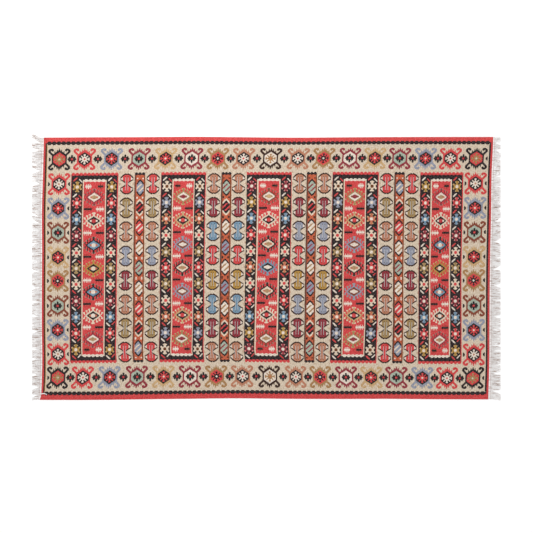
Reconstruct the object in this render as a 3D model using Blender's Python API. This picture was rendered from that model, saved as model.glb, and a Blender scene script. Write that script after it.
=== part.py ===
"""A flat-woven wool kilim lying flat, with a cotton warp fringe at each end.

X runs along the warps, from one fringed end to the other, and Y runs across them.
The underside lies at z = 0, and the origin is the middle of the whole footprint.
"""
import math
from collections import namedtuple

import bmesh
import bpy

# Woven cloth, in metres
CLOTH_LENGTH = 2.908
CLOTH_WIDTH = 1.700
CLOTH_THICKNESS = 0.003
RIM_ROUND = 0.0009
RIM_STEPS = 2
LONG_EDGE_STEPS = 54
END_STEPS = 30

# Heading and fringe, in metres
CLEARANCE = 0.0003
HEADING_WIDTH = 0.008
HEADING_HEIGHT = 0.0026
HEADING_INSET = 0.0015
LEFT_TIPS = -1.518
RIGHT_TIPS = 1.524
STRANDS = 140
STRAND_SHARE = 0.64
MIDDLE_WIDTH = 0.0073
MIDDLE_HEIGHT = 0.0022
TIP_WIDTH = 0.0050
TIP_HEIGHT = 0.0016
MIDDLE_REACH = 0.52
TIP_SHORTFALL = 0.007
WHOLE_LOCKS = 3

# How far the fringe leans sideways at its tips, in metres
SWAY_LONG = 0.0065
SWAY_LONG_PITCH = 0.310
SWAY_SHORT = 0.0030
SWAY_SHORT_PITCH = 0.097
CORNER_RUN = 0.110

# Outward stray of the long edges from straight, in metres, at even steps along +X
LongEdge = namedtuple("LongEdge", "far near")
LONG_EDGE_STRAY = (
    LongEdge(far=-0.0023, near=0.0050),
    LongEdge(far=-0.0003, near=0.0051),
    LongEdge(far=0.0008, near=0.0014),
    LongEdge(far=0.0026, near=-0.0025),
    LongEdge(far=0.0000, near=-0.0055),
    LongEdge(far=-0.0029, near=-0.0023),
    LongEdge(far=-0.0008, near=-0.0012),
    LongEdge(far=0.0010, near=-0.0019),
    LongEdge(far=0.0017, near=0.0008),
    LongEdge(far=0.0017, near=0.0016),
)

# Outward stray of the two ends from straight, in metres, at even steps along +Y
EndEdge = namedtuple("EndEdge", "left right")
END_STRAY = (
    EndEdge(left=0.0066, right=-0.0138),
    EndEdge(left=-0.0002, right=-0.0069),
    EndEdge(left=0.0027, right=-0.0059),
    EndEdge(left=0.0023, right=-0.0044),
    EndEdge(left=0.0007, right=-0.0010),
    EndEdge(left=0.0018, right=0.0042),
    EndEdge(left=-0.0047, right=0.0075),
    EndEdge(left=-0.0109, right=0.0183),
)

# Splay of the corner locks at their tips, in metres, outward along Y
Corner = namedtuple("Corner", "far near")
CORNER_SPLAY = {
    "left": Corner(far=0.036, near=0.017),
    "right": Corner(far=0.010, near=0.016),
}

RED_WOOL = (0.62, 0.045, 0.055, 1.0)
PALE_COTTON = (0.70, 0.66, 0.60, 1.0)


def smooth_read(values, fraction):
    """Read a list of even stations at a fraction from 0 to 1, as a smooth curve."""
    place = min(max(fraction, 0.0), 1.0) * (len(values) - 1)
    index = min(int(place), len(values) - 2)
    step = place - index
    start, stop = values[index], values[index + 1]
    before = values[max(index - 1, 0)]
    after = values[min(index + 2, len(values) - 1)]
    slope_in = (stop - before) / 2
    slope_out = (after - start) / 2
    cubic = 2 * start - 2 * stop + slope_in + slope_out
    square = 3 * stop - 3 * start - 2 * slope_in - slope_out
    return ((cubic * step + square) * step + slope_in) * step + start


def far_edge(fraction):
    """Y of the edge at +Y, at a fraction of the length."""
    return CLOTH_WIDTH / 2 + smooth_read([row.far for row in LONG_EDGE_STRAY], fraction)


def near_edge(fraction):
    """Y of the edge at -Y, at a fraction of the length."""
    return -CLOTH_WIDTH / 2 - smooth_read([row.near for row in LONG_EDGE_STRAY], fraction)


def left_end(fraction):
    """X of the end at -X, at a fraction of the width."""
    return -CLOTH_LENGTH / 2 - smooth_read([row.left for row in END_STRAY], fraction)


def right_end(fraction):
    """X of the end at +X, at a fraction of the width."""
    return CLOTH_LENGTH / 2 + smooth_read([row.right for row in END_STRAY], fraction)


def mix(first, last, fraction):
    return first + (last - first) * fraction


def end_point(side, fraction):
    """A point on one end of the cloth, on straight runs between the outline's stations."""
    end = left_end if side == "left" else right_end
    along = 0.0 if side == "left" else 1.0
    place = min(max(fraction, 0.0), 1.0) * END_STEPS
    index = min(int(place), END_STEPS - 1)
    x = mix(end(index / END_STEPS), end((index + 1) / END_STEPS), place - index)
    y = mix(near_edge(along), far_edge(along), fraction)
    return x, y


def cloth_outline():
    """The outline of the cloth, anticlockwise from its corner at -X, -Y."""
    points = []
    for step in range(LONG_EDGE_STEPS):
        fraction = step / LONG_EDGE_STEPS
        points.append((mix(left_end(0.0), right_end(0.0), fraction), near_edge(fraction)))
    for step in range(END_STEPS):
        points.append(end_point("right", step / END_STEPS))
    for step in range(LONG_EDGE_STEPS):
        fraction = 1.0 - step / LONG_EDGE_STEPS
        points.append((mix(left_end(1.0), right_end(1.0), fraction), far_edge(fraction)))
    for step in range(END_STEPS):
        points.append(end_point("left", 1.0 - step / END_STEPS))
    return points


def raise_slab(mesh, height):
    """Raise the flat faces at z = 0 into a closed slab."""
    copy = bmesh.ops.extrude_face_region(mesh, geom=mesh.faces[:], use_keep_orig=True)
    raised = [part for part in copy["geom"] if isinstance(part, bmesh.types.BMVert)]
    bmesh.ops.translate(mesh, verts=raised, vec=(0.0, 0.0, height))
    bmesh.ops.recalc_face_normals(mesh, faces=mesh.faces[:])


def new_material(name, colour, roughness):
    material = bpy.data.materials.new(name)
    material.use_nodes = True
    shader = material.node_tree.nodes["Principled BSDF"]
    shader.inputs["Base Color"].default_value = colour
    shader.inputs["Roughness"].default_value = roughness
    shader.inputs["Metallic"].default_value = 0.0
    material.diffuse_color = colour
    return material


def add_piece(name, mesh, material):
    data = bpy.data.meshes.new(name)
    mesh.to_mesh(data)
    mesh.free()
    data.materials.append(material)
    piece = bpy.data.objects.new(name, data)
    bpy.context.scene.collection.objects.link(piece)
    return piece


def make_cloth(material):
    """The woven field and borders: one thin slab with a softly rounded upper rim."""
    mesh = bmesh.new()
    corners = [mesh.verts.new((x, y, 0.0)) for x, y in cloth_outline()]
    mesh.faces.new(corners)
    raise_slab(mesh, CLOTH_THICKNESS)
    half = CLOTH_THICKNESS / 2
    rim = [edge for edge in mesh.edges if all(vert.co.z > half for vert in edge.verts)]
    bmesh.ops.bevel(mesh, geom=rim, offset=RIM_ROUND, segments=RIM_STEPS, profile=0.5,
                    affect="EDGES", material=-1)
    return add_piece("kilim_cloth", mesh, material)


def sway(side, fraction):
    """How far a strand's tip lies to +Y of its root."""
    y = fraction * CLOTH_WIDTH
    phase = 0.6 if side == "left" else 2.1
    lean = SWAY_LONG * math.sin(2 * math.pi * y / SWAY_LONG_PITCH + phase)
    lean += SWAY_SHORT * math.sin(2 * math.pi * y / SWAY_SHORT_PITCH + 3 * phase)
    run = CORNER_RUN / CLOTH_WIDTH
    near_corner = max(1.0 - fraction / run, 0.0)
    far_corner = max(1.0 - (1.0 - fraction) / run, 0.0)
    free = 1.0 - max(near_corner, far_corner)
    splay = CORNER_SPLAY[side]
    return lean * free + splay.far * far_corner ** 1.5 - splay.near * near_corner ** 1.5


def shortfall(number):
    """How far a strand stops short of the line the fringe is cut to."""
    if number < WHOLE_LOCKS or number >= STRANDS - WHOLE_LOCKS:
        return 0.0
    wave = math.sin(2.4 * number + 1.3 * math.sin(0.7 * number))
    return TIP_SHORTFALL * (0.5 + 0.5 * wave)


def draw_out(mesh, faces, reach):
    """Extrude strand faces one by one and set each new end by its place in the row."""
    drawn = bmesh.ops.extrude_discrete_faces(mesh, faces=faces)["faces"]
    ends = sorted(drawn, key=lambda face: face.calc_center_median().y)
    for face, (x, y, width, height) in zip(ends, reach):
        middle = sum(vert.co.y for vert in face.verts) / len(face.verts)
        floor = min(vert.co.z for vert in face.verts)
        for vert in face.verts:
            across = width / 2 if vert.co.y > middle else -width / 2
            up = 0.0 if vert.co.z < floor + HEADING_HEIGHT / 10 else height
            vert.co = (x, y + across, up)
    return ends


def make_fringe(side, material):
    """A narrow heading woven past the wool, and the warp ends that hang from it."""
    outward = -1.0 if side == "left" else 1.0
    tip_line = LEFT_TIPS if side == "left" else RIGHT_TIPS
    mesh = bmesh.new()
    inset = HEADING_INSET / CLOTH_WIDTH
    pitch = (1.0 - 2 * inset) / STRANDS
    gap = pitch * (1.0 - STRAND_SHARE) / 2
    cuts = [inset]
    for strand in range(STRANDS):
        start = inset + strand * pitch
        cuts += [start + gap, start + pitch - gap]
    cuts.append(1.0 - inset)

    inner = []
    for cut in cuts:
        x, y = end_point(side, cut)
        inner.append(mesh.verts.new((x + outward * CLEARANCE, y, 0.0)))
    seam = [mesh.edges.new(pair) for pair in zip(inner, inner[1:])]
    ribbon = bmesh.ops.extrude_edge_only(mesh, edges=seam)
    outer = [part for part in ribbon["geom"] if isinstance(part, bmesh.types.BMVert)]
    bmesh.ops.translate(mesh, verts=outer, vec=(outward * HEADING_WIDTH, 0.0, 0.0))
    raise_slab(mesh, HEADING_HEIGHT)

    rows = {}
    for face in mesh.faces:
        centre = face.calc_center_median()
        if abs(face.normal.x) > 0.9 and face.normal.x * outward > 0.0:
            rows[centre.y] = face
    outer_faces = [rows[y] for y in sorted(rows)]
    strand_faces = outer_faces[1::2]

    middles = []
    tips = []
    for number, face in enumerate(strand_faces):
        centre = face.calc_center_median()
        fraction = inset + (number + 0.5) * pitch
        lean = sway(side, fraction)
        tip_x = tip_line - outward * shortfall(number)
        middle_x = mix(centre.x, tip_x, MIDDLE_REACH)
        middle_y = centre.y + lean * MIDDLE_REACH ** 1.4
        middles.append((middle_x, middle_y, MIDDLE_WIDTH, MIDDLE_HEIGHT))
        tips.append((tip_x, centre.y + lean, TIP_WIDTH, TIP_HEIGHT))
    middle_faces = draw_out(mesh, strand_faces, middles)
    draw_out(mesh, middle_faces, tips)
    bmesh.ops.recalc_face_normals(mesh, faces=mesh.faces[:])
    return add_piece("fringe_" + side, mesh, material)


def centre_footprint(pieces):
    """Bring the middle of the whole footprint to the origin."""
    xs = [vert.co.x for piece in pieces for vert in piece.data.vertices]
    ys = [vert.co.y for piece in pieces for vert in piece.data.vertices]
    middle_x = (min(xs) + max(xs)) / 2
    middle_y = (min(ys) + max(ys)) / 2
    for piece in pieces:
        for vert in piece.data.vertices:
            vert.co.x -= middle_x
            vert.co.y -= middle_y


def build():
    for old in list(bpy.data.objects):
        bpy.data.objects.remove(old, do_unlink=True)
    wool = new_material("wool", RED_WOOL, 0.9)
    cotton = new_material("cotton", PALE_COTTON, 0.92)
    pieces = [make_cloth(wool)]
    for side in ("left", "right"):
        pieces.append(make_fringe(side, cotton))
    centre_footprint(pieces)


build()
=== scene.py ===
"""A west Anatolian kilim laid flat on a pale floor: wool cloth and cotton warp fringes."""
import math
from collections import namedtuple

import bmesh
import bpy
import numpy as np
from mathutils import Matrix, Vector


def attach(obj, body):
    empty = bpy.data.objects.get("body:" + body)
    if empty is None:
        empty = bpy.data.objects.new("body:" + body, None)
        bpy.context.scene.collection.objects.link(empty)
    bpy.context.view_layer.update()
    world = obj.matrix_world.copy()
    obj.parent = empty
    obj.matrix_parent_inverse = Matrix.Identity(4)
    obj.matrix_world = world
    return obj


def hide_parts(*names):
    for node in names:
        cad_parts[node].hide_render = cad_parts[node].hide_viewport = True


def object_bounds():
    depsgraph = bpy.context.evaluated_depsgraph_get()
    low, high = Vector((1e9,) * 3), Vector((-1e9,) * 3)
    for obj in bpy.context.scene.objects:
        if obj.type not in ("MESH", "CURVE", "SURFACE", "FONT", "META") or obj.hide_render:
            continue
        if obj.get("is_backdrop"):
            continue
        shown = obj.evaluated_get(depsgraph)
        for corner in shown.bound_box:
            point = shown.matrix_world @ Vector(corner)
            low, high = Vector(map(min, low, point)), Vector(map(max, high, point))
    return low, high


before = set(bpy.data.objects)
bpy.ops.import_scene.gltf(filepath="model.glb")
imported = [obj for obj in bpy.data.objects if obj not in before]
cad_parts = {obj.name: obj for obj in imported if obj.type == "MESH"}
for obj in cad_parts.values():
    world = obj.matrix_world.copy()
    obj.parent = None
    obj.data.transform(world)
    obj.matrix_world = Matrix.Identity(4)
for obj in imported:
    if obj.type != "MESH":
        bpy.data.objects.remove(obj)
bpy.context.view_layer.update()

# Cloth: a flat-woven wool kilim in one width, warps along the rug and wefts across it.
# The wefts hide the warps, and the design is counted off charts. Its squares, 3.25 mm each, are
# counted from the left end and from the far edge at +Y, inside the outline of the CAD node.
SQUARES_LONG = 896
SQUARES_WIDE = 524
SQUARE_SIZE = 0.00325
FIRST_SQUARE = 0.8
LAST_SQUARE = 897.3
CLOTH_SIZE = (1.700, 2.908)
CLOTH_THICKNESS = 0.003
SELVEDGE_ROUND = 0.0018
RIPPLE = 0.0007

# Dyed wool by name, as seen in soft daylight (sRGB, 0 to 255)
YARNS = {
    "cream": (225, 206, 183),
    "red": (219, 77, 77),
    "black": (52, 44, 44),
    "white": (242, 226, 210),
    "orange": (203, 103, 72),
    "lavender": (154, 157, 172),
    "blue": (124, 154, 176),
    "gold": (187, 145, 74),
    "olive": (170, 141, 95),
    "salmon": (194, 133, 105),
    "wine": (152, 60, 68),
    "tan": (184, 148, 110),
    "mint": (178, 188, 170),
    "brown": (112, 66, 36),
    "rust": (140, 76, 57),
    "stone": (165, 143, 128),
    "umber": (66, 44, 36),
    "madder": (197, 64, 68),
    "sand": (209, 172, 126),
    "fawn": (176, 134, 90),
    "rose": (236, 152, 148),
    "apricot": (206, 120, 90),
    "pearl": (238, 216, 192),
    "oat": (206, 176, 150),
    "steel": (196, 192, 190),
    "poppy": (228, 83, 82),
}
YARN_ORDER = list(YARNS)

# A patch keeps its yarns' numbers as the digits of two numbers, four digits to the first
YARN_BASE = 28
FIRST_SPOOL = 4

Chart = namedtuple("Chart", "start width height")
Patch = namedtuple("Patch", "chart left top right bottom columns rows yarns")
chart_squares = []
patches = []


def draft(letters, drawing):
    """Add a chart, its letters turned to numbers, to the weaver's one long list."""
    rows = drawing.split()
    chart = Chart(len(chart_squares), len(rows[0]), len(rows))
    for row in rows:
        chart_squares.extend(letters.index(letter) for letter in row)
    return chart


def spool(names):
    """Number the yarns that a chart's letters stand for: the first four, then the rest."""
    numbers = [YARN_ORDER.index(name) for name in names.split()]
    return [sum(number * YARN_BASE ** place for place, number in enumerate(part))
            for part in (numbers[:FIRST_SPOOL], numbers[FIRST_SPOOL:])]


def weave(chart, yarns, left, top, right, bottom, columns=None, rows=None):
    """Fill a box with a chart. Past the chart's last column or row, the weaver turns back."""
    columns = columns or (0, chart.width)
    rows = rows or (0, chart.height)
    edges = [round(2 * edge) / 2 for edge in (left, top, right, bottom)]
    patches.append(Patch(chart, *edges, columns, rows, spool(yarns)))


def weave_about(chart, yarns, column, row, narrow=1):
    """Weave a quarter chart out to all four sides of its middle, drawn in to fit if need be."""
    weave(chart, yarns, column - chart.width * narrow, row - chart.height,
          column + chart.width * narrow, row + chart.height,
          (0, 2 * chart.width), (0, 2 * chart.height))


PLAIN = draft(".", ".")

# Hooked border figure, upper left quarter: hooks, hexagon, star and its middle
HOOKED = draft(".hxso", """
........................
........................
......hhhhh............h
....hhhhhhhh...........h
...hhhhhhhhhh......h...h
..hhhhhhhhhhh......hh.hh
..hhhhh.hhhhh......hh.hh
..hhhhh..hhh..h....hhhhh
..hhhhh.......hh..hhhhhh
..hhhhhh......hh.hhhhhhh
...hhhhhh.....hhhhhhhhhx
....hhhhhh....hhhhhhhhxx
.....hhhhhh..hhhhhhhxxxx
......hhhhhhhhhhhhhxxxxx
.......hhhhhhhhhhxxxxxss
........hhhhhhhhxxxxxxss
.........hhhhhxxxxxxxxss
.........hhhhxxxxssxxxxs
.........hhhxxxxxsssxxxs
.........hhhxxxxxxsssxss
.........hhhxxxxxxxsssss
.........hhhxxssxxxxssss
.........hhhxxsssxxsssso
.........hhhxxssssssssoo
""")

# Small eight-armed star, upper left quarter, and the small wedge beside a hooked figure
SMALL_STAR = draft(".kr", """
........k
.......kk
.......kk
....k..kk
...kkk.kk
..kkkkkkk
..kkkkkkk
.kkkkkkrr
kkkkkkkrr
""")
WEDGE = draft(".k", """
kk..
kkk.
kkkk
kkkk
""")

# Half a bead each, which the weaver turns back to make rows of beads: the chain of black
# lozenges round the border, and the toothed seam that closes a panel or a column
CHAIN = draft(".kc", """
..kkk
.kkkk
kkkkk
kkkkk
kkkkk
kkkkk
ckkkk
cckkk
""")
SEAM = draft(".rb", """
..rr
.rrr
rrrr
rrrr
rrrr
bbrr
""")

# Star column, whole: a left and a right bar, the star, its middle and its arm tips
BARRED_STAR = draft(".lraop", """
......................
......................
......................
.........ll...........
.......llll...........
......llll............
.....llll.....rr......
....llll......rrr.....
...llll........rrr....
...lll..........rrr...
...l.............rrr..
.........aaaa.....rrr.
.......ppaaaapp....rr.
.......ppaaaapp.......
........paaaap........
.........aaaa.........
...pp....aaaa....pp...
..pppa..aaaaaa..appp..
..ppaaa.aaaaaa.aaapp..
...aaaaaaooooaaaaaa...
....aaaaooooooaaaa....
....aaaaooooooaaaa....
....aaaaooooooaaaa....
....aaaaooooooaaaa....
...aaaaaaooooaaaaaa...
..ppaaa.aaaaaa.aaapp..
..pppa..aaaaaa..appp..
...pp....aaaa....pp...
.........aaaa.........
........paaaap........
.......ppaaaapp.......
.......ppaaaapp.......
.........aaaa.........
""")
BAR_ROWS = 11
STAR_REACH = 11

# Rayed lozenge of the red strips, upper left quarter: rays, ring, core, core dots, ray tips
RAYED = draft(".abcde", """
.....................
..................eea
.................eeaa
.................eeaa
............eea....aa
...........eeaa....aa
...........eeaa....aa
......eeaa...aa....aa
......eeaa...aa...aaa
......eeaa...aa.aaaab
........aa...aaaaaabb
.eeaa...aa..aaaaabbbb
.eeaa...aa.aaaaabbbbb
.eeaa...aaaaaabbbbbbb
...aa....aaaabbbbbbcc
...aa..aaaabbbbbbcccc
....aaaaaabbbbdddcccc
......aaabbbbddddcccc
""")

# Combs of the red strips, upper left quarters: the common one and the short end ones
COMB = draft(".ht", """
........
..t...t.
..t...t.
..t...t.
hhhhhhhh
hhhhhhhh
""")
SHORT_COMB = draft(".ht", """
........
....t..t
....t..t
....t..t
..thhhhh
..thhhhh
""")

# Double lozenge of the cream columns, upper left quarter: outline, body, white, rails, motes
DOUBLE_LOZENGE = draft(".kawtm", """
mmm.............
mm..............
m...............
............kkk.
..........kkkkkk
........kkkkkkkk
.......kkkkkaaaa
......kkkkaaaaaa
.....kkkkaaaaaaa
....kkkkaaaaakaa
...kkkkwaaaaakaa
...kkkwwaaaaataa
...kkwwwaaaaataa
...kwwwwaaaaataa
...kwwwwaaaaataa
...kkkwwaaaaataa
...kkkkkaaaaataa
.....kkkkaaaataa
.......kkkkaataa
........kkkkataa
m.........kkktaa
mm.........kktaa
mmm.........ktaa
mmmm.........taa
""")

# Twisted lozenge of the orange columns, upper half: chevron, body, bars and corner dots
TWISTED = draft(".kawd", """
...ddd........ddd...
...ddd........ddd...
....d..........d....
.........kk.........
........kkkk........
.......kkkkkk.......
......kkkkkkkk......
.....kkkkaakkkk.....
....kkkkaaaakkkk....
....kkkaaaaaakkk....
...kkkaaaaaaaakkk...
...kkkaaaaaaaakkk...
...kkaaaaaawwaakk...
...aaaaaawwwwaaaa...
...aaaaawwwwaaaaa...
...aaaawwwwaaaaaa...
...aaawwwwaaaaaaa...
...aawwwwaaaaaaaw...
...awwwwaaaaaaaww...
...wwwwaaaaaaawww...
""")

# Plain grounds and lines of the border, each a dye and its left, top, right and bottom edges:
# the red frame with its far and near edges, the far one brighter, the cream ground, and the
# dark lines inside the ends
FRAME_END = 898
BORDER_LEFT = 7.5
BORDER_RIGHT = 891
BORDER_PLAINS = [
    ("red", 0, 0, FRAME_END, SQUARES_WIDE),
    ("poppy", 6, 0, FRAME_END, 9),
    ("red", 0, 514, FRAME_END, SQUARES_WIDE),
    ("cream", 8.1, 12, BORDER_RIGHT, 512),
    ("gold", 7.1, 12, 8.4, 512),
    ("brown", 6.4, 12, 7.5, 512),
    ("black", 4.6, 11, 6.6, 513),
    ("black", 890.2, 11, 893.4, 513),
]
for dye, *edges in BORDER_PLAINS:
    weave(PLAIN, dye, *edges)
CHAIN_BEADS = 93
CHAIN_RUN = (0, CHAIN_BEADS * 2 * CHAIN.width)
weave(CHAIN, "poppy black cream", BORDER_LEFT, 8, BORDER_RIGHT, 15.5, CHAIN_RUN)
weave(CHAIN, "red black cream", BORDER_LEFT, 507.5, BORDER_RIGHT, 515, CHAIN_RUN,
      rows=(CHAIN.height, 0))

# Border figures: seventeen along each side, eight more down each end
SIDE_FIGURES = [32.5, 82.5, 136, 190.5, 243.5, 296, 348, 399.5, 453.5,
                508, 559, 611.5, 662, 712, 763.5, 813.5, 865.5]
SIDE_DYES = [
    "cream black red olive cream",
    "cream red black white red",
    "cream lavender black red white",
    "cream wine mint mint mint",
    "cream sand black red white",
    "cream wine white white white",
    "cream fawn red black white",
    "cream salmon black white red",
    "cream umber white fawn apricot",
]
END_FIGURES = [94, 142.5, 191, 240, 287, 337, 385.5, 434]
END_DYES = [
    "cream red black white salmon",
    "cream lavender black red white",
    "cream rust mint mint mint",
    "cream sand black red white",
    "cream fawn red black white",
    "cream rust mint mint mint",
    "cream lavender black red white",
    "cream red black white salmon",
]
FAR_ROW = 44.5
NEAR_ROW = 480.5
LEFT_FIGURES = 33.5
RIGHT_FIGURES = 866
WEDGE_NEAR = 18
WEDGE_FAR = 22


def weave_figure(dyes, column, row):
    """One hooked figure. Where it has no star of its own, a small star sits in its hexagon."""
    weave_about(HOOKED, dyes, column, row)
    hexagon, star = dyes.split()[2:4]
    if star == hexagon:
        weave_about(SMALL_STAR, hexagon + " black red", column, row)


def weave_wedge(column, row, side):
    """A small wedge to the left or right of a figure, its point away from the figure."""
    top = row - WEDGE.height
    bottom = row + WEDGE.height
    rows = (0, 2 * WEDGE.height)
    if side == "left":
        weave(WEDGE, "cream black", column - WEDGE_FAR, top, column - WEDGE_NEAR, bottom,
              rows=rows)
    else:
        weave(WEDGE, "cream black", column + WEDGE_NEAR, top, column + WEDGE_FAR, bottom,
              (WEDGE.width, 0), rows)


for row in (FAR_ROW, NEAR_ROW):
    for place, column in enumerate(SIDE_FIGURES):
        step = min(place, len(SIDE_FIGURES) - 1 - place)
        weave_figure(SIDE_DYES[step], column, row)
    for before, after in zip(SIDE_FIGURES, SIDE_FIGURES[1:]):
        weave_about(SMALL_STAR, "cream black madder", (before + after) / 2, row)
for column in (LEFT_FIGURES, RIGHT_FIGURES):
    for row, dyes in zip(END_FIGURES, END_DYES):
        weave_figure(dyes, column, row)
for row in [FAR_ROW, *END_FIGURES, NEAR_ROW]:
    weave_wedge(LEFT_FIGURES, row, "left")
    weave_wedge(RIGHT_FIGURES, row, "right")
for row in END_FIGURES:
    weave_wedge(LEFT_FIGURES, row, "right")
    weave_wedge(RIGHT_FIGURES, row, "left")

# Five panels: two black star columns about a red strip of rayed lozenges
Panel = namedtuple("Panel", "edges stars strip combs")
PANEL_ROWS = (74, 450)
BLACK_ROWS = (76, 448)
SEAM_FRAME_ROWS = ((71.5, 77.5), (446.5, 452.5))
SEAM_STRIP_ROWS = ((84.5, 90.2), (434.3, 440))
PEARL_ROWS = (86, 438)
BROWN_ROWS = (90, 434)
BROWN_WIDTH = 1.5
STRIP_ROWS = (90, 434.3)
STRIP_WIDTH = 42.5
COMB_OFFSET = 12
STAR_ROWS = [99.9, 132.1, 164.3, 197.6, 231.1, 262, 293.8, 327.4, 359.9, 392.5, 425.4]
LOZENGE_ROWS = [120.5, 167.3, 216.1, 262.3, 309.7, 357, 404.3]
COMB_ROWS = [99, 144, 191.5, 239, 286, 333.5, 380.5, 425.5]
TEETH = {"white": "white white", "black": "black rust"}


def there_and_back(dyes):
    """The dyes of a column that runs to its middle and back again."""
    return dyes + dyes[-2::-1]


STARS_OUTER = there_and_back([
    "gold white sand", "red white rose", "blue white lavender", "wine white rose",
    "pearl red pearl", "olive white sand"])
STARS_INNER = there_and_back([
    "pearl brown pearl", "lavender white lavender", "apricot white sand", "pearl red pearl",
    "olive white sand", "red white rose"])
STARS_MIDDLE = there_and_back([
    "wine white rose", "gold white sand", "blue white lavender", "red white rose",
    "pearl red pearl", "apricot white sand"])
STRIP_OUTER = ["wine white tan apricot stone", "pearl black madder white pearl",
               "black blue white apricot stone", "gold black pearl apricot sand",
               "black blue white apricot stone", "pearl black white apricot pearl",
               "wine white tan apricot stone"]
STRIP_INNER = there_and_back([
    "olive white wine rust sand", "sand black red white pearl",
    "lavender rust white white stone", "black pearl tan apricot stone"])
STRIP_MIDDLE = ["rust white sand tan stone", "pearl black red white pearl",
                "black pearl tan apricot stone", "blue black white white stone",
                "black pearl tan apricot stone", "pearl black red white pearl",
                "rust white tan tan stone"]
PANELS = [
    Panel((57.5, 59, 81, 83, 125.5, 127.5, 149, 151), STARS_OUTER, STRIP_OUTER, "white black"),
    Panel((236, 237.5, 259.5, 261.5, 302, 303.5, 324.5, 326.5), STARS_INNER, STRIP_INNER,
          "black white"),
    Panel((404.5, 406, 428, 430.5, 472, 474.5, 496, 498), STARS_MIDDLE, STRIP_MIDDLE,
          "white black"),
    Panel((578.5, 580, 602, 604, 645.5, 647.5, 670.5, 672.5), STARS_INNER, STRIP_INNER,
          "black white"),
    Panel((753.5, 755.5, 776, 778.5, 816, 818.5, 839.5, 841.5), STARS_OUTER, STRIP_OUTER,
          "white black"),
]


def weave_stars(left, right, stars, first_bar, odd_bars):
    """One black column of stars, two bars past each, but for the weaver's own odd ones."""
    centre = len(STAR_ROWS) // 2
    for place, star in enumerate(STAR_ROWS):
        step = min(place, len(STAR_ROWS) - 1 - place)
        bars = odd_bars.get(place, ["red white", "white red"][(step + first_bar) % 2])
        dyes = "black {} {}".format(bars, stars[place])
        top = star - STAR_REACH
        bottom = star + STAR_REACH
        if place <= centre:
            weave(BARRED_STAR, dyes, left, top - BAR_ROWS, right, bottom)
        else:
            weave(BARRED_STAR, dyes, left, top, right, bottom + BAR_ROWS,
                  rows=(BARRED_STAR.height, 0))
        if place == centre:
            weave(BARRED_STAR, dyes, left, bottom, right, bottom + BAR_ROWS, rows=(BAR_ROWS, 0))
        if place == odd_bars.get("roof"):
            weave(BARRED_STAR, "black red white black", left, top - BAR_ROWS, right, top,
                  rows=(0, BAR_ROWS))


def weave_seams(dyes, left, right, seam_rows, beads):
    """The far and the near seam of a panel, a strip or a column, the near one turned about."""
    far_rows, near_rows = seam_rows
    run = (0, beads * 2 * SEAM.width)
    weave(SEAM, dyes, left, far_rows[0], right, far_rows[1], run)
    weave(SEAM, dyes, left, near_rows[0], right, near_rows[1], run, (SEAM.height, 0))


def weave_plain(dye, left, right, rows):
    """A plain box, its rows given as a pair."""
    weave(PLAIN, dye, left, rows[0], right, rows[1])


# Where a panel departs from its bars: by place in the column, and a roof of its own at one star
ODD_BARS = {
    (1, "left"): {7: "red red", 8: "red white", 9: "white red", 10: "red white"},
    (2, "right"): {5: "red red"},
    (4, "left"): {"roof": 10},
}
for number, panel in enumerate(PANELS):
    (outer, black, line, strip, strip_end, line_end, black_end, outer_end) = panel.edges
    weave_plain("wine", outer, black, PANEL_ROWS)
    weave_plain("red", black, outer_end, PANEL_ROWS)
    weave_plain("black", black, line, BLACK_ROWS)
    weave_plain("black", line_end, black_end, BLACK_ROWS)
    weave_stars(black, line, panel.stars, int(number > 0), ODD_BARS.get((number, "left"), {}))
    weave_stars(line_end, black_end, panel.stars, int(number == 0),
                ODD_BARS.get((number, "right"), {}))
    weave_plain("black", line, line_end, BLACK_ROWS)
    weave_plain("brown", line - BROWN_WIDTH, line, BROWN_ROWS)
    weave_plain("pearl", line, strip, PEARL_ROWS)
    weave_plain("pearl", strip_end, line_end, PEARL_ROWS)
    weave_plain("red", strip, strip_end, STRIP_ROWS)
    weave_seams("black white red", strip, strip_end, SEAM_STRIP_ROWS,
                round((strip_end - strip) / (2 * SEAM.width)))
    weave_seams("cream red black", outer, outer_end, SEAM_FRAME_ROWS,
                round((outer_end - outer) / (2 * SEAM.width)))
    middle = (strip + strip_end) / 2
    narrow = (strip_end - strip) / STRIP_WIDTH
    for row, dyes in zip(LOZENGE_ROWS, panel.strip):
        weave_about(RAYED, "red " + dyes, middle, row, narrow)
    for place, row in enumerate(COMB_ROWS):
        comb = SHORT_COMB if place in (0, len(COMB_ROWS) - 1) else COMB
        dyes = panel.combs.split()
        if place % 2 == 1:
            dyes.reverse()
        for dye, offset in zip(dyes, (-COMB_OFFSET, COMB_OFFSET)):
            weave_about(comb, "red " + TEETH[dye], middle + offset * narrow, row, narrow)

# Four gaps between panels: an orange column of twisted lozenges between two cream ones
Gap = namedtuple("Gap", "first lines second doubles twists dots")
COLUMN_ROWS = (77, 447)
SEAM_COLUMN_ROWS = ((71.5, 77.5), (446.5, 452))
COLUMN_BEADS = 3
DOUBLE_ROWS = [94.5, 142, 189.6, 238, 287, 335.4, 383.2, 430.9]
TWIST_ROWS = [102.4, 141.3, 181.6, 222.4, 262.5, 303, 343.8, 383.7, 423.3]
DOUBLES_OUTER = ["red", "olive", "salmon", "lavender", "wine", "salmon", "olive", "red"]
DOUBLES_LEFT = ["salmon", "wine", "blue", "red", "gold", "blue", "wine", "salmon"]
DOUBLES_RIGHT = ["salmon", "wine", "lavender", "red", "gold", "lavender", "wine", "salmon"]
TWISTS_OUTER = there_and_back([
    "black lavender pearl", "pearl black red", "black red white", "black white fawn",
    "black mint wine"])
TWISTS_INNER = there_and_back([
    "black mint wine", "pearl black red", "black white fawn", "black lavender wine",
    "black white fawn"])
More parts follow.
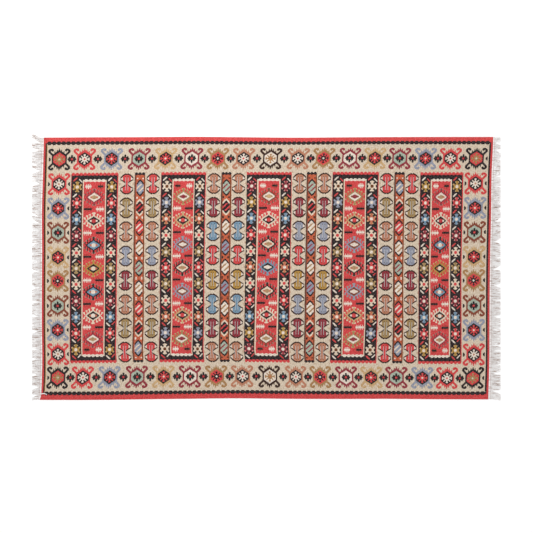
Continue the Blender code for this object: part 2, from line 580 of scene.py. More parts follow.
GAPS = [
    Gap(168, (183.5, 184.5, 187, 202.5, 204.5), 220.5, DOUBLES_OUTER, TWISTS_OUTER, "white"),
    Gap(342, (356.5, 358, 360, 374.5, 376.5), 391, DOUBLES_LEFT, TWISTS_INNER, "black"),
    Gap(513, (527, 528.5, 531, 545.5, 547.5), 563, DOUBLES_RIGHT, TWISTS_INNER, "black"),
    Gap(688, (703, 704.5, 707, 721.5, 723.5), 738.5, DOUBLES_OUTER, TWISTS_OUTER, "white"),
]
for gap in GAPS:
    for column in (gap.first, gap.second):
        for row, dye in zip(DOUBLE_ROWS, gap.doubles):
            weave_about(DOUBLE_LOZENGE, "cream umber {} white steel oat".format(dye), column, row)
    dark, rust, ground, brown, end = gap.lines
    weave_plain("orange", dark, end, COLUMN_ROWS)
    left = (ground + brown - TWISTED.width) / 2
    right = left + TWISTED.width
    for row, dyes in zip(TWIST_ROWS, gap.twists):
        dyes = "orange {} {}".format(dyes, gap.dots)
        weave(TWISTED, dyes, left, row - TWISTED.height, right, row)
        weave(TWISTED, dyes, left, row, right, row + TWISTED.height,
              (TWISTED.width, 0), (TWISTED.height, 0))
    weave_plain("umber", dark, rust, COLUMN_ROWS)
    weave_plain("rust", rust, ground, COLUMN_ROWS)
    weave_plain("brown", brown, end, COLUMN_ROWS)
    weave_seams("cream black orange", dark, end, SEAM_COLUMN_ROWS, COLUMN_BEADS)

# The outline is read off the CAD node, which the cloth lies on: two ends and two long edges.
# The cloth departs from it at the near left corner, which is pulled out along the warps.
SOLE_HEIGHT = 0.0001
LEFT_STRAY = 0.02
RIGHT_STRAY = 0.035
EDGE_STRAY = 0.02
CORNER_PULL = 0.0085
PULLED_FROM = -0.825
PULLED_WIDTH = 0.023
outline = np.array([vert.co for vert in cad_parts["kilim_cloth"].data.vertices])
outline = np.unique(outline[outline[:, 2] < SOLE_HEIGHT].round(6), axis=0)
low = outline.min(axis=0)
high = outline.max(axis=0)


def edge_points(chosen, axis):
    """The chosen points of the outline, in order along one axis."""
    points = outline[chosen]
    return points[np.argsort(points[:, axis])]


left_end = edge_points(outline[:, 0] < low[0] + LEFT_STRAY, 1)
right_end = edge_points(outline[:, 0] > high[0] - RIGHT_STRAY, 1)
near_edge = edge_points(outline[:, 1] < low[1] + EDGE_STRAY, 0)
far_edge = edge_points(outline[:, 1] > high[1] - EDGE_STRAY, 0)


def left_line(y):
    """X of the left end of the outline, which is pulled out at its near corner."""
    pull = np.clip((PULLED_FROM - y) / PULLED_WIDTH, 0.0, 1.0)
    return np.interp(y, left_end[:, 1], left_end[:, 0]) - CORNER_PULL * pull


# Hand weaving wanders: how far the design sits off its even count, in squares, along and
# across, at a few columns and rows. The middle also leans, by metres along for the full width.
MIDDLE_LEAN = 0.032
DRIFT_COLUMNS = [0, 34, 136, 243, 348, 453, 559, 662, 763, 866, 896]
DRIFT_ROWS = [0, 44, 150, 262, 370, 428, 480, 524]
DRIFT_ALONG = np.array([
    [0.0, -0.6, 1.6, 4.7, 0.4, 2.4, 4.8, 0.8, 0.3, 0.8, 0.0],
    [0.0, -0.1, 0.3, 0.0, 0.0, -0.4, -0.3, -0.4, -0.2, -0.5, 0.0],
    [0.0, -0.6, 0.6, 0.0, 0.4, 2.1, 0.3, -0.9, 0.1, -1.3, 0.0],
    [0.0, -1.2, -0.1, -0.2, 0.0, 1.2, -0.1, 0.9, -0.4, -1.6, 0.0],
    [0.0, -0.8, -0.1, 1.1, 0.4, -0.2, 0.5, 1.9, 0.7, -0.3, 0.0],
    [0.0, -1.2, -1.9, -1.6, -1.1, -1.4, -0.9, -0.5, 0.2, 0.2, 0.0],
    [0.0, 0.8, 2.0, 2.6, 4.4, 6.2, 0.3, -1.0, 0.7, -0.8, 0.0],
    [0.0, -3.9, -3.8, 1.0, 1.0, 4.9, 4.5, 5.7, 1.3, -2.2, 0.0],
])
DRIFT_ACROSS = np.array([
    [0.0, 0.0, 0.0, 0.0, 0.0, 0.0, 0.0, 0.0, 0.0, 0.0, 0.0],
    [-0.3, -0.8, -1.2, -1.5, -1.3, -2.6, -3.3, -2.8, -1.7, -1.7, -1.2],
    [-0.7, -0.9, -0.4, -1.0, -1.0, -2.7, -2.0, -0.9, 0.2, -0.5, -1.4],
    [-0.7, -0.4, -0.6, -0.6, -1.5, -2.4, -1.0, -0.9, 0.3, -0.6, -1.4],
    [-0.7, -0.9, -1.4, -0.9, 0.0, -1.0, -0.7, 0.4, 0.9, 0.3, -0.8],
    [-0.8, -1.5, -1.8, -2.0, -0.7, -1.4, -0.4, 0.6, 1.6, 0.5, -0.3],
    [-0.5, -1.1, -1.5, -1.5, -0.6, -0.9, -0.4, 0.8, 1.3, 1.8, 0.2],
    [0.0, 0.0, 0.0, 0.0, 0.0, 0.0, 0.0, 0.0, 0.0, 0.0, 0.0],
])


def drift(table, column, row):
    """A drift table read between its knots."""
    across = np.interp(column, DRIFT_COLUMNS, range(len(DRIFT_COLUMNS)))
    down = np.interp(row, DRIFT_ROWS, range(len(DRIFT_ROWS)))
    left = np.minimum(np.floor(across).astype(int), len(DRIFT_COLUMNS) - 2)
    top = np.minimum(np.floor(down).astype(int), len(DRIFT_ROWS) - 2)
    across = across - left
    down = down - top
    upper = table[top, left] * (1 - across) + table[top, left + 1] * across
    lower = table[top + 1, left] * (1 - across) + table[top + 1, left + 1] * across
    return upper * (1 - down) + lower * down


def lay(column, row):
    """Where chart squares lie on the floor, in metres."""
    along = (column + drift(DRIFT_ALONG, column, row)) / SQUARES_LONG
    across = 1 - (row + drift(DRIFT_ACROSS, column, row)) / SQUARES_WIDE
    y = (across - 0.5) * CLOTH_SIZE[0]
    start = left_line(y)
    stop = np.interp(y, right_end[:, 1], right_end[:, 0])
    lean = MIDDLE_LEAN * (across - 0.5) * along * (1 - along)
    x = start + (stop - start) * along + lean
    bottom = np.interp(x, near_edge[:, 0], near_edge[:, 1])
    top = np.interp(x, far_edge[:, 0], far_edge[:, 1])
    return x, bottom + (top - bottom) * across


# One grid serves every patch: its lines run along all their edges, and close up at the rims
RIM_STEPS = [SELVEDGE_ROUND / SQUARE_SIZE * share for share in (0, 0.134, 0.5, 1)]
LEAST_STEP = 0.2
PLAIN_STEP = 9


def grid_lines(edges, first, last):
    """Where the grid's lines run, in squares: at the rims, at all edges and evenly between."""
    lines = [first + step for step in RIM_STEPS] + [last - step for step in RIM_STEPS]
    margin = RIM_STEPS[-1] + LEAST_STEP
    lines += [edge for edge in edges if first + margin < edge < last - margin]
    lines = sorted(set(lines))
    filled = []
    for start, stop in zip(lines, lines[1:]):
        count = max(1, math.ceil((stop - start) / PLAIN_STEP))
        filled += [start + (stop - start) * step / count for step in range(count)]
    return np.array(filled + [lines[-1]])


column_lines = grid_lines({edge for patch in patches for edge in (patch.left, patch.right)},
                          FIRST_SQUARE, LAST_SQUARE)
row_lines = grid_lines({edge for patch in patches for edge in (patch.top, patch.bottom)},
                       0, SQUARES_WIDE)

RIM_LEVEL = 1e-7
WELD_REACH = 1e-6


def ripple(x, y):
    """How far the cloth stands off the floor, in slow hills and hollows."""
    hills = math.sin(3.1 * x + 1.7 * math.sin(4.3 * y)) * math.sin(5.2 * y + 1.1 * x)
    return RIPPLE * (1 + hills) / 2


def add_object(name, data):
    """An object in the scene for a mesh, a light or a camera."""
    added = bpy.data.objects.new(name, data)
    bpy.context.scene.collection.objects.link(added)
    return added


mesh = bmesh.new()
bmesh.ops.create_grid(mesh, x_segments=len(column_lines) - 1, y_segments=len(row_lines) - 1,
                      size=0.5)
square_layer = mesh.verts.layers.float_vector.new("squares")
for vert in mesh.verts:
    across = round((vert.co.x + 0.5) * (len(column_lines) - 1))
    down = round((0.5 - vert.co.y) * (len(row_lines) - 1))
    vert[square_layer] = (column_lines[across], row_lines[down], 0.0)
    inset = min(column_lines[across] - FIRST_SQUARE, LAST_SQUARE - column_lines[across],
                row_lines[down], SQUARES_WIDE - row_lines[down])
    slope = 1 - min(inset / RIM_STEPS[-1], 1.0)
    vert.co.z = CLOTH_THICKNESS / 2 * math.sqrt(max(1 - slope ** 2, 0.0))
for corner in [vert for vert in mesh.verts if len(vert.link_edges) == 2]:
    # A corner's face starts at the corner, and so is cut through it and not flat across it
    around = list(corner.link_faces[0].verts)
    turn = around.index(corner)
    mesh.faces.remove(corner.link_faces[0])
    mesh.faces.new(around[turn:] + around[:turn])
under = bmesh.ops.duplicate(mesh, geom=mesh.verts[:] + mesh.edges[:] + mesh.faces[:])["geom"]
under_faces = [part for part in under if isinstance(part, bmesh.types.BMFace)]
under_verts = [part for part in under if isinstance(part, bmesh.types.BMVert)]
bmesh.ops.reverse_faces(mesh, faces=under_faces)
for vert in under_verts:
    vert.co.z = -vert.co.z
rim = [vert for vert in mesh.verts if abs(vert.co.z) < RIM_LEVEL]
bmesh.ops.remove_doubles(mesh, verts=rim, dist=WELD_REACH)
woven_squares = np.array([vert[square_layer] for vert in mesh.verts])
for vert, x, y in zip(mesh.verts, *lay(woven_squares[:, 0], woven_squares[:, 1])):
    vert.co = (x, y, CLOTH_THICKNESS / 2 + vert.co.z + ripple(x, y))
cloth_data = bpy.data.meshes.new("kilim")
mesh.to_mesh(cloth_data)
mesh.free()

# Each face is told its chart, its place on the chart and its yarns
squares = np.zeros(len(cloth_data.vertices) * 3)
cloth_data.attributes["squares"].data.foreach_get("vector", squares)
squares = squares.reshape(-1, 3)[:, :2]
corners = np.zeros(len(cloth_data.loops), dtype=int)
cloth_data.loops.foreach_get("vertex_index", corners)
corners = corners.reshape(-1, 4)
centres = squares[corners].mean(axis=1)
patch_of_face = np.zeros(len(corners), dtype=int)
for number, patch in enumerate(patches):
    inside = ((centres[:, 0] > patch.left) & (centres[:, 0] < patch.right)
              & (centres[:, 1] > patch.top) & (centres[:, 1] < patch.bottom))
    patch_of_face[inside] = number
patch_boxes = np.array([(p.left, p.top, p.right, p.bottom) for p in patches])[patch_of_face]
patch_runs = np.array([(*p.columns, *p.rows) for p in patches], dtype=float)[patch_of_face]
share = ((squares[corners] - patch_boxes[:, None, :2])
         / (patch_boxes[:, None, 2:] - patch_boxes[:, None, :2]))
first = patch_runs[:, None, 0::2]
last = patch_runs[:, None, 1::2]
chart_places = first + (last - first) * share
chart_map = cloth_data.uv_layers.new(name="chart_place")
chart_map.data.foreach_set("uv", chart_places.ravel())


def tell_faces(name, facts):
    """Give each face three numbers of its patch."""
    layer = cloth_data.attributes.new(name, "FLOAT_VECTOR", "FACE")
    layer.data.foreach_set("vector", np.array(facts, dtype=float)[patch_of_face].ravel())


tell_faces("chart", [patch.chart for patch in patches])
tell_faces("yarns", [(*patch.yarns, 0) for patch in patches])
for face in cloth_data.polygons:
    face.use_smooth = True
cloth = add_object("kilim", cloth_data)


def put(tree, kind, settings=None, **feeds):
    """Place a node, set it, and feed its sockets with values or with other sockets."""
    node = tree.nodes.new(kind)
    for name, value in (settings or {}).items():
        setattr(node, name, value)
    for name, feed in feeds.items():
        socket = node.inputs[name.replace("_", " ")]
        if isinstance(feed, bpy.types.NodeSocket):
            tree.links.new(feed, socket)
        else:
            socket.default_value = feed
    return node


def reckon(tree, operation, *feeds):
    """Place a Math node and feed it, and hand back its result."""
    node = tree.nodes.new("ShaderNodeMath")
    node.operation = operation
    for socket, feed in zip(node.inputs, feeds):
        if isinstance(feed, bpy.types.NodeSocket):
            tree.links.new(feed, socket)
        else:
            socket.default_value = feed
    return node.outputs[0]


def new_group(name, inputs, outputs):
    """An empty node group, with its inputs and outputs named and typed."""
    tree = bpy.data.node_groups.new(name, "ShaderNodeTree")
    for socket, kind in inputs.items():
        tree.interface.new_socket(socket, in_out="INPUT", socket_type="NodeSocket" + kind)
    for socket, kind in outputs.items():
        tree.interface.new_socket(socket, in_out="OUTPUT", socket_type="NodeSocket" + kind)
    return tree, tree.nodes.new("NodeGroupInput").outputs, tree.nodes.new("NodeGroupOutput").inputs


def dyed(colour, strength=1.0):
    """A colour as seen, 0 to 255, as the shader's own red, green and blue."""
    channels = []
    for channel in colour:
        level = channel / 255
        level = level / 12.92 if level < 0.04045 else ((level + 0.055) / 1.055) ** 2.4
        channels.append(min(level * strength, 1.0))
    return (*channels, 1.0)


def add_material(name, roughness):
    """A material, its node tree and its main shader."""
    material = bpy.data.materials.new(name)
    material.use_nodes = True
    shader = material.node_tree.nodes["Principled BSDF"]
    shader.inputs["Roughness"].default_value = roughness
    return material, material.node_tree, shader


# Chart reader: from the place on a chart to the letter there. The charts are one long list of
# squares, which steps through a row of colour ramps, each with up to thirty runs of a letter.
RAMP_SQUARES = 254
RAMP_RUNS = 30
RAMP_LAST = 255
LETTERS = 8
reader, given, out = new_group(
    "chart_reader", {"Place": "Vector", "Chart": "Vector"}, {"Letter": "Float"})
place = put(reader, "ShaderNodeSeparateXYZ", Vector=given["Place"]).outputs
chart = put(reader, "ShaderNodeSeparateXYZ", Vector=given["Chart"]).outputs
start = reckon(reader, "ROUND", chart["X"])
width = reckon(reader, "ROUND", chart["Y"])
height = reckon(reader, "ROUND", chart["Z"])


def chart_step(there, size):
    """The chart's column or row at a place, which runs to the chart's end and back again."""
    step = reckon(reader, "FLOOR", reckon(reader, "PINGPONG", there, size))
    return reckon(reader, "MINIMUM", step, reckon(reader, "SUBTRACT", size, 1.0))


column = chart_step(place["X"], width)
row = chart_step(place["Y"], height)
address = reckon(reader, "MULTIPLY_ADD", row, width, reckon(reader, "ADD", start, column))


def add_ramp(first, squares_here):
    """A ramp that gives the letters of its own squares, and nothing outside them."""
    along = reckon(reader, "MULTIPLY_ADD", address, 1 / RAMP_LAST, (1.5 - first) / RAMP_LAST)
    ramp = put(reader, "ShaderNodeValToRGB", Fac=along)
    ramp.color_ramp.interpolation = "CONSTANT"
    stops = ramp.color_ramp.elements
    stops.remove(stops[1])
    stops[0].position = 0.0
    stops[0].color = (0.0, 0.0, 0.0, 1.0)
    letter = 0
    for step, square in enumerate([*squares_here, 0]):
        if square != letter:
            stop = stops.new((step + 0.5) / RAMP_LAST)
            level = square / LETTERS
            stop.color = (level, level, level, 1.0)
            letter = square
    return ramp.outputs["Color"]


letter_sum = None
first = 0
while first < len(chart_squares):
    last = first + 1
    runs = 1
    while last < len(chart_squares) and last - first < RAMP_SQUARES:
        runs += chart_squares[last] != chart_squares[last - 1]
        if runs > RAMP_RUNS:
            break
        last += 1
    here = add_ramp(first, chart_squares[first:last])
    letter_sum = here if letter_sum is None else reckon(reader, "ADD", letter_sum, here)
    first = last
letter = reckon(reader, "ROUND", reckon(reader, "MULTIPLY", letter_sum, float(LETTERS)))
reader.links.new(letter, out["Letter"])

# Dye pot: from a letter and a patch's yarns to the yarn's colour
DYE_STRENGTH = 0.765
dye_pot, given, out = new_group(
    "dye_pot", {"Letter": "Float", "Yarns": "Vector"}, {"Color": "Color", "Yarn": "Float"})
spools = put(dye_pot, "ShaderNodeSeparateXYZ", Vector=given["Yarns"]).outputs
late = reckon(dye_pot, "GREATER_THAN", given["Letter"], FIRST_SPOOL - 0.5)
yarns = reckon(dye_pot, "MULTIPLY_ADD", late, reckon(
    dye_pot, "SUBTRACT", spools["Y"], spools["X"]), spools["X"])
yarns = reckon(dye_pot, "ADD", reckon(dye_pot, "ROUND", yarns), 0.5)
power = reckon(dye_pot, "POWER", float(YARN_BASE), reckon(
    dye_pot, "MULTIPLY_ADD", late, float(-FIRST_SPOOL), given["Letter"]))
yarn = reckon(dye_pot, "FLOORED_MODULO", reckon(dye_pot, "DIVIDE", yarns, power),
              float(YARN_BASE))
yarn = reckon(dye_pot, "FLOOR", yarn)
along = reckon(dye_pot, "DIVIDE", reckon(dye_pot, "ADD", yarn, 0.5), float(YARN_BASE))
palette = put(dye_pot, "ShaderNodeValToRGB", Fac=along)
palette.color_ramp.interpolation = "CONSTANT"
stops = palette.color_ramp.elements
stops.remove(stops[1])
for number, name in enumerate(YARN_ORDER):
    stop = stops[0] if number == 0 else stops.new(number / YARN_BASE)
    stop.position = number / YARN_BASE
    stop.color = dyed(YARNS[name], DYE_STRENGTH)
dye_pot.links.new(palette.outputs["Color"], out["Color"])
dye_pot.links.new(yarn, out["Yarn"])

# Weft face: ribs over each warp, beads where each weft crosses it, and uneven packing. Its Shade
# is painted shade: darker in the grooves between ribs and beads, lighter on their crests
WANDER_SCALE = 0.11
WANDER_BEADS = 3.0
RIB_FLATNESS = 0.6
BEAD_RELIEF = 0.45
GROOVE_SHADE = 0.80
RIB_SHADE = 1.08
weft_face, given, out = new_group(
    "weft_face",
    {"Squares": "Vector", "Ribs": "Float", "Beads": "Float"},
    {"Height": "Float", "Shade": "Float"})
place = put(weft_face, "ShaderNodeSeparateXYZ", Vector=given["Squares"]).outputs
wander = put(weft_face, "ShaderNodeTexNoise", {"noise_dimensions": "2D"},
             Vector=given["Squares"], Scale=WANDER_SCALE, Detail=2.0).outputs["Fac"]
ribs = reckon(weft_face, "MULTIPLY_ADD", place["Y"], given["Ribs"], wander)
odd_rib = reckon(weft_face, "FLOORED_MODULO", reckon(weft_face, "FLOOR", ribs), 2.0)
beads = reckon(weft_face, "MULTIPLY", place["X"], given["Beads"])
beads = reckon(weft_face, "ADD", beads, reckon(weft_face, "MULTIPLY", odd_rib, 0.5))
beads = reckon(weft_face, "ADD", beads, reckon(weft_face, "MULTIPLY", wander, WANDER_BEADS))


def ridge(count):
    """One round ridge, from 0 up to 1 and down again, for each whole number counted."""
    wave = reckon(weft_face, "SINE", reckon(weft_face, "MULTIPLY", count, math.pi))
    return reckon(weft_face, "POWER", reckon(weft_face, "ABSOLUTE", wave), RIB_FLATNESS)


rib_height = ridge(ribs)
bead_height = ridge(beads)
height = reckon(weft_face, "MULTIPLY", rib_height, reckon(
    weft_face, "MULTIPLY_ADD", bead_height, BEAD_RELIEF, 1 - BEAD_RELIEF))
# Painted shade in the grooves and painted light on the crests, from the weave's height
shade = reckon(weft_face, "MULTIPLY_ADD", height, RIB_SHADE - GROOVE_SHADE, GROOVE_SHADE)
weft_face.links.new(height, out["Height"])
weft_face.links.new(shade, out["Shade"])

# Wool: hand-spun and plant-dyed, so each batch and each length of yarn differs a little, and
# flecks of lint and fading soften the dark dyes and mottle the pale ones. The weft face's painted
# shade darkens its grooves and lightens its crests
BATCH_STRETCH = (0.36, 0.09, 1.0)
BATCH_SHIFT = 7.3
BATCH_DEPTH = 0.14
FLECK_SCALE = 0.42
FLECK_FADE = (0.10, 0.13, 0.17)
FLECK_LINT = 0.016
RIB_DEPTH = 0.0005
wool, tree, shader = add_material("wool", 0.92)
chart_place = put(tree, "ShaderNodeUVMap", {"uv_map": "chart_place"}).outputs["UV"]
chart = put(tree, "ShaderNodeAttribute", {"attribute_name": "chart"}).outputs["Vector"]
yarns = put(tree, "ShaderNodeAttribute", {"attribute_name": "yarns"}).outputs["Vector"]
woven = put(tree, "ShaderNodeAttribute", {"attribute_name": "squares"}).outputs["Vector"]
read = put(tree, "ShaderNodeGroup", {"node_tree": reader}, Place=chart_place, Chart=chart)
pot = put(tree, "ShaderNodeGroup", {"node_tree": dye_pot}, Letter=read.outputs["Letter"],
          Yarns=yarns)
face = put(tree, "ShaderNodeGroup", {"node_tree": weft_face}, Squares=woven, Ribs=1.0, Beads=3.0)
stretch = put(tree, "ShaderNodeMapping", Vector=woven, Scale=BATCH_STRETCH)
yarn_shift = put(tree, "ShaderNodeCombineXYZ",
                 Z=reckon(tree, "MULTIPLY", pot.outputs["Yarn"], BATCH_SHIFT))
batch_place = put(tree, "ShaderNodeVectorMath", {"operation": "ADD"})
tree.links.new(stretch.outputs["Vector"], batch_place.inputs[0])
tree.links.new(yarn_shift.outputs["Vector"], batch_place.inputs[1])
batch = put(tree, "ShaderNodeTexNoise", Vector=batch_place.outputs["Vector"], Scale=1.0,
            Detail=3.0, Roughness=0.6).outputs["Fac"]
batch = put(tree, "ShaderNodeMapRange", Value=batch, From_Min=0.25, From_Max=0.75,
            To_Min=1 - BATCH_DEPTH, To_Max=1 + BATCH_DEPTH).outputs["Result"]
# Each batch's own tone, times the weft face's painted shade and light
level = reckon(tree, "MULTIPLY", batch, face.outputs["Shade"])
dye_with_painted_shade = put(tree, "ShaderNodeVectorMath", {"operation": "SCALE"}, Scale=level)
tree.links.new(pot.outputs["Color"], dye_with_painted_shade.inputs[0])
flecks = put(tree, "ShaderNodeTexNoise", Vector=woven, Scale=FLECK_SCALE,
             Detail=1.0).outputs["Fac"]
flecks = put(tree, "ShaderNodeMapRange", Value=flecks, From_Min=0.36, From_Max=0.64,
             To_Min=-1.0, To_Max=1.0).outputs["Result"]
fade = put(tree, "ShaderNodeVectorMath", {"operation": "MULTIPLY_ADD"})
fade.inputs[0].default_value = FLECK_FADE
fade.inputs[2].default_value = (1.0, 1.0, 1.0)
tree.links.new(flecks, fade.inputs[1])
lint = put(tree, "ShaderNodeVectorMath", {"operation": "MULTIPLY_ADD"})
tree.links.new(dye_with_painted_shade.outputs["Vector"], lint.inputs[0])
tree.links.new(fade.outputs["Vector"], lint.inputs[1])
tree.links.new(reckon(tree, "MULTIPLY", flecks, FLECK_LINT), lint.inputs[2])
tree.links.new(lint.outputs["Vector"], shader.inputs["Base Color"])
shader.inputs["Specular IOR Level"].default_value = 0.18
shader.inputs["Sheen Weight"].default_value = 0.08
shader.inputs["Sheen Roughness"].default_value = 0.5
relief = put(tree, "ShaderNodeBump", Height=face.outputs["Height"], Distance=RIB_DEPTH,
             Strength=0.7)
tree.links.new(relief.outputs["Normal"], shader.inputs["Normal"])
cloth_data.materials.append(wool)
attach(cloth, "root")
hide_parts("kilim_cloth")

# Fringes: the cotton warps run on past the wool as a woven heading, a row of twining that
# locks the wefts, and loose yarn ends that lie on the floor, cut to one line. The yarns hang
# together in locks, lean in slow waves along the end, and splay at the corners.
HEADING_WIDTH = 0.0105
HEADING_THICKNESS = 0.0024
HEADING_GAP = 0.0002
FLOOR_GAP = 0.0001
END_INSET = 0.002
ROOT_INSET = 0.0015
LOCKS = 36
YARNS_PER_LOCK = 17
LEAST_YARNS = 3
YARN_RADIUS = 0.00125
YARN_POINTS = 9
YARN_TAPER = 0.08
TIP_LINES = {"left": -1.5210, "right": 1.5215}
LOCK_WIDTHS = (0.55, 1.45)
LOCK_LEAN = 0.0045
LOCK_GATHER = (0.45, 0.95)
LOCK_CURL = 0.0016
YARN_LEAN = 0.0016
YARN_CURL = 0.0010
YARN_TURNS = (0.5, 1.3)
PILE_HEIGHT = 0.0012
RAGGEDNESS = 0.0014
SHORT_SHARE = 0.10
SHORT_BY = (0.006, 0.020)
WILDNESS = {"left": 1.0, "right": 1.7}
WAVE_PHASE = {"left": 0.6, "right": 2.1}
LONG_WAVE = (0.0065, 0.310)
SHORT_WAVE = (0.0030, 0.097)
CORNER_RUN = 0.110
CORNER_SPLAY = {"left": (0.054, 0.017), "right": (0.010, 0.016)}
TWINING_RADIUS = 0.0009
TWINING_STEPS = 360
TWINING_ZIGZAG = 0.0004
TWINING_INSET = 0.0006
TWINING_RISE = 0.0005
SMOOTH_AREA = 2e-5
COTTON_STRENGTH = 0.92
BINDING_STRENGTH = 0.76

cotton, tree, shader = add_material("cotton", 0.95)
where = put(tree, "ShaderNodeTexCoord").outputs["Object"]
strands = put(tree, "ShaderNodeMapping", Vector=where, Scale=(17.0, 150.0, 60.0))
mottle = put(tree, "ShaderNodeTexNoise", Vector=strands.outputs["Vector"], Scale=1.0,
             Detail=3.0, Roughness=0.65).outputs["Fac"]
# Pale cotton in its own off-white tones, with brown streaks along the yarns that are painted
# shadow in the gaps between them
cotton_with_painted_gaps = put(tree, "ShaderNodeValToRGB", Fac=mottle)
cotton_with_painted_gaps.color_ramp.elements[0].position = 0.35
cotton_with_painted_gaps.color_ramp.elements[0].color = dyed((166, 138, 124), COTTON_STRENGTH)
cotton_with_painted_gaps.color_ramp.elements[1].position = 0.60
cotton_with_painted_gaps.color_ramp.elements[1].color = dyed((252, 250, 249), COTTON_STRENGTH)
pale = cotton_with_painted_gaps.color_ramp.elements.new(0.45)
pale.color = dyed((232, 225, 222), COTTON_STRENGTH)
tree.links.new(cotton_with_painted_gaps.outputs["Color"], shader.inputs["Base Color"])
shader.inputs["Specular IOR Level"].default_value = 0.12
shader.inputs["Sheen Weight"].default_value = 0.1
twist = put(tree, "ShaderNodeTexWave", {"bands_direction": "DIAGONAL"}, Vector=where,
            Scale=260.0, Distortion=1.5)
relief = put(tree, "ShaderNodeBump", Height=twist.outputs["Fac"], Distance=0.0003, Strength=0.5)
tree.links.new(relief.outputs["Normal"], shader.inputs["Normal"])

binding, tree, shader = add_material("binding", 0.95)
where = put(tree, "ShaderNodeTexCoord").outputs["Object"]
mottle = put(tree, "ShaderNodeTexNoise", Vector=where, Scale=120.0, Detail=3.0).outputs["Fac"]
rose = put(tree, "ShaderNodeValToRGB", Fac=mottle)
rose.color_ramp.elements[0].color = dyed((196, 168, 164), BINDING_STRENGTH)
rose.color_ramp.elements[1].color = dyed((232, 214, 212), BINDING_STRENGTH)
tree.links.new(rose.outputs["Color"], shader.inputs["Base Color"])


def wool_edge(side, y):
    """X of the cloth's own end."""
    if side == "left":
        shift = FIRST_SQUARE / SQUARES_LONG * CLOTH_SIZE[1]
        return left_line(y) + shift
    shift = (LAST_SQUARE - SQUARES_LONG) / SQUARES_LONG * CLOTH_SIZE[1]
    return np.interp(y, right_end[:, 1], right_end[:, 0]) + shift


def splay(side, y):
    """How far a yarn's tip is carried along Y from its root, in waves and at the corners."""
    phase = WAVE_PHASE[side]
    lean = LONG_WAVE[0] * math.sin(2 * math.pi * y / LONG_WAVE[1] + phase)
    lean += SHORT_WAVE[0] * math.sin(2 * math.pi * y / SHORT_WAVE[1] + 3 * phase)
    far = max(1 - (CLOTH_SIZE[0] / 2 - y) / CORNER_RUN, 0.0)
    near = max(1 - (CLOTH_SIZE[0] / 2 + y) / CORNER_RUN, 0.0)
    far_splay, near_splay = CORNER_SPLAY[side]
    free = 1 - min(max(far, near), 1.0)
    return lean * free + far_splay * far ** 1.5 - near_splay * near ** 1.5


def draw_yarns(name, runs, radius):
    """Round yarns along lists of points, each with its own thickness, as one mesh."""
    strand = bpy.data.curves.new(name, "CURVE")
    strand.dimensions = "3D"
    strand.bevel_depth = radius
    strand.bevel_resolution = 1
    strand.use_fill_caps = True
    for run in runs:
        spline = strand.splines.new("POLY")
        spline.points.add(len(run) - 1)
        for point, (x, y, z, thick) in zip(spline.points, run):
            point.co = (x, y, z, 1.0)
            point.radius = thick
    holder = bpy.data.objects.new(name, strand)
    drawn = bpy.data.meshes.new_from_object(holder)
    bpy.data.objects.remove(holder)
    bpy.data.curves.remove(strand)
    return drawn


def lay_yarn(root, reach, lean, curl, chance):
    """The points and thicknesses of one loose yarn, from its root in the heading to its tip."""
    turns = chance.uniform(*YARN_TURNS)
    phase = chance.uniform(0, 2 * math.pi)
    layer = chance.uniform(0.0, PILE_HEIGHT)
    run = []
    for step in range(YARN_POINTS):
        along = step / (YARN_POINTS - 1)
        sway = curl * math.sin(2 * math.pi * turns * along + phase) * along ** 0.5
        thick = 1.0 - YARN_TAPER * along
        z = YARN_RADIUS * thick + layer * math.sin(math.pi * min(along * 1.2, 1.0))
        run.append((root[0] + reach * along, root[1] + lean * along ** 1.4 + sway,
                    z + FLOOR_GAP, thick))
    return run


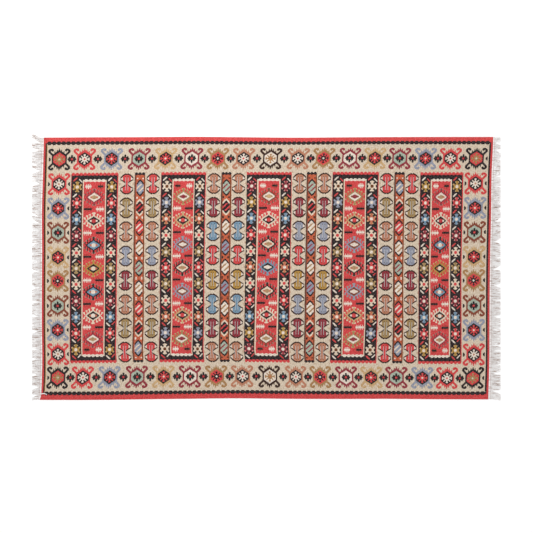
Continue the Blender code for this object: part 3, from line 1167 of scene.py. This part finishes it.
def make_fringe(side, seed):
    """One end's heading with its loose yarns, and the twining on the heading."""
    chance = np.random.default_rng(seed)
    outward = -1.0 if side == "left" else 1.0
    edge = left_end if side == "left" else right_end
    low_y = edge[0, 1] + END_INSET
    high_y = edge[-1, 1] - END_INSET
    span = high_y - low_y
    wildness = WILDNESS[side]

    heading = bmesh.new()
    bmesh.ops.create_grid(heading, x_segments=3, y_segments=90, size=0.5)
    for vert in heading.verts:
        y = low_y + span * (vert.co.y + 0.5)
        x = wool_edge(side, y) + outward * (HEADING_GAP + HEADING_WIDTH * (vert.co.x + 0.5))
        vert.co = (x, y, 0.0)
    bmesh.ops.recalc_face_normals(heading, faces=heading.faces[:])
    bmesh.ops.solidify(heading, geom=heading.faces[:], thickness=HEADING_THICKNESS)
    lowest = min(vert.co.z for vert in heading.verts)
    bmesh.ops.translate(heading, verts=heading.verts, vec=(0, 0, FLOOR_GAP - lowest))
    bmesh.ops.recalc_face_normals(heading, faces=heading.faces[:])

    runs = []
    cuts = np.cumsum(chance.uniform(*LOCK_WIDTHS, LOCKS))
    cuts = low_y + span * np.concatenate([[0.0], cuts / cuts[-1]])
    for lock_low, lock_high in zip(cuts, cuts[1:]):
        middle = (lock_low + lock_high) / 2
        lean = splay(side, middle) + chance.normal(0, LOCK_LEAN) * wildness
        gather = chance.uniform(*LOCK_GATHER)
        curl = chance.normal(0, LOCK_CURL) * wildness
        count = max(round(YARNS_PER_LOCK * LOCKS * (lock_high - lock_low) / span), LEAST_YARNS)
        for number in range(count):
            root_y = lock_low + (lock_high - lock_low) * (number + 0.5) / count
            root_x = wool_edge(side, root_y) + outward * (HEADING_WIDTH - ROOT_INSET)
            short = abs(chance.normal(0, RAGGEDNESS))
            if chance.random() < SHORT_SHARE:
                short += chance.uniform(*SHORT_BY)
            reach = abs(TIP_LINES[side] - root_x) - short
            own_lean = lean + (root_y - middle) * (gather - 1) + chance.normal(0, YARN_LEAN)
            own_curl = curl + chance.normal(0, YARN_CURL) * wildness
            runs.append(lay_yarn((root_x, root_y), outward * reach, own_lean, own_curl, chance))
    yarns = draw_yarns("yarns_" + side, runs, YARN_RADIUS)
    heading.from_mesh(yarns)
    bpy.data.meshes.remove(yarns)
    data = bpy.data.meshes.new("warp_fringe_" + side)
    heading.to_mesh(data)
    heading.free()
    data.materials.append(cotton)
    for face in data.polygons:
        face.use_smooth = face.area < SMOOTH_AREA
    piece = add_object("warp_fringe_" + side, data)
    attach(piece, "root")
    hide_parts("fringe_" + side)

    run = []
    for step in range(TWINING_STEPS + 1):
        y = low_y + span * step / TWINING_STEPS
        x = wool_edge(side, y) + outward * (HEADING_WIDTH - TWINING_INSET)
        x += TWINING_ZIGZAG * (-1) ** step
        run.append((x, y, HEADING_THICKNESS + TWINING_RISE, 1.0))
    twined = draw_yarns("twining_" + side, [run], TWINING_RADIUS)
    twined.materials.append(binding)
    row = add_object("twining_" + side, twined)
    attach(row, "root")
    return piece, row


left_fringe, left_twining = make_fringe("left", 11)
right_fringe, right_twining = make_fringe("right", 23)

# Stray warp: at the near left corner one doubled warp end lies back over the red edge.
# It is two cotton yarns side by side, about 50 mm long.
STRAY = [(-1.4700, -0.8235), (-1.4561, -0.8186), (-1.4464, -0.8173), (-1.4366, -0.8186),
         (-1.4289, -0.8218), (-1.4237, -0.8251)]
STRAY_HEIGHT = CLOTH_THICKNESS + RIPPLE + 0.0020
STRAY_RADIUS = 0.0019
SECOND_OFFSET = 0.0022
SECOND_THICKNESS = 0.8
stray_runs = [[(x, y, STRAY_HEIGHT, 1.0) for x, y in STRAY],
              [(x, y - SECOND_OFFSET, STRAY_HEIGHT, SECOND_THICKNESS) for x, y in STRAY]]
stray_data = draw_yarns("stray_warp", stray_runs, STRAY_RADIUS)
stray_data.materials.append(cotton)
stray = add_object("stray_warp", stray_data)
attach(stray, "root")

# Floor, light and camera: a plain white floor, soft light from all round, a lamp past the far
# edge whose light falls off towards the near one, and a view from straight above
FLOOR_SIZE = 30
FLOOR_DROP = 0.0002
floor_mesh = bmesh.new()
bmesh.ops.create_grid(floor_mesh, x_segments=1, y_segments=1, size=FLOOR_SIZE)
bmesh.ops.translate(floor_mesh, verts=floor_mesh.verts, vec=(0, 0, -FLOOR_DROP))
floor_data = bpy.data.meshes.new("floor")
floor_mesh.to_mesh(floor_data)
floor_mesh.free()
floor = add_object("floor", floor_data)
paper, tree, shader = add_material("floor_paper", 1.0)
shader.inputs["Base Color"].default_value = (0.99, 0.99, 0.99, 1.0)
shader.inputs["Specular IOR Level"].default_value = 0.0
floor_data.materials.append(paper)
floor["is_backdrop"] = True

world = bpy.data.worlds.new("studio")
bpy.context.scene.world = world
world.use_nodes = True
sky = world.node_tree.nodes["Background"]
sky.inputs["Color"].default_value = (1.0, 1.0, 1.0, 1.0)
sky.inputs["Strength"].default_value = 0.99
lamp_data = bpy.data.lights.new("window", "POINT")
lamp_data.energy = 67.0
lamp_data.shadow_soft_size = 0.4
lamp = add_object("window", lamp_data)
lamp.location = (-0.7, 1.6, 2.0)

camera_data = bpy.data.cameras.new("camera")
camera_data.lens = 85
camera_data.sensor_width = 36
camera = add_object("camera", camera_data)
camera.location = (0.0016, 0.0059, 8.172)
bpy.context.scene.camera = camera
bpy.context.scene.view_settings.view_transform = "Standard"

low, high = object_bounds()
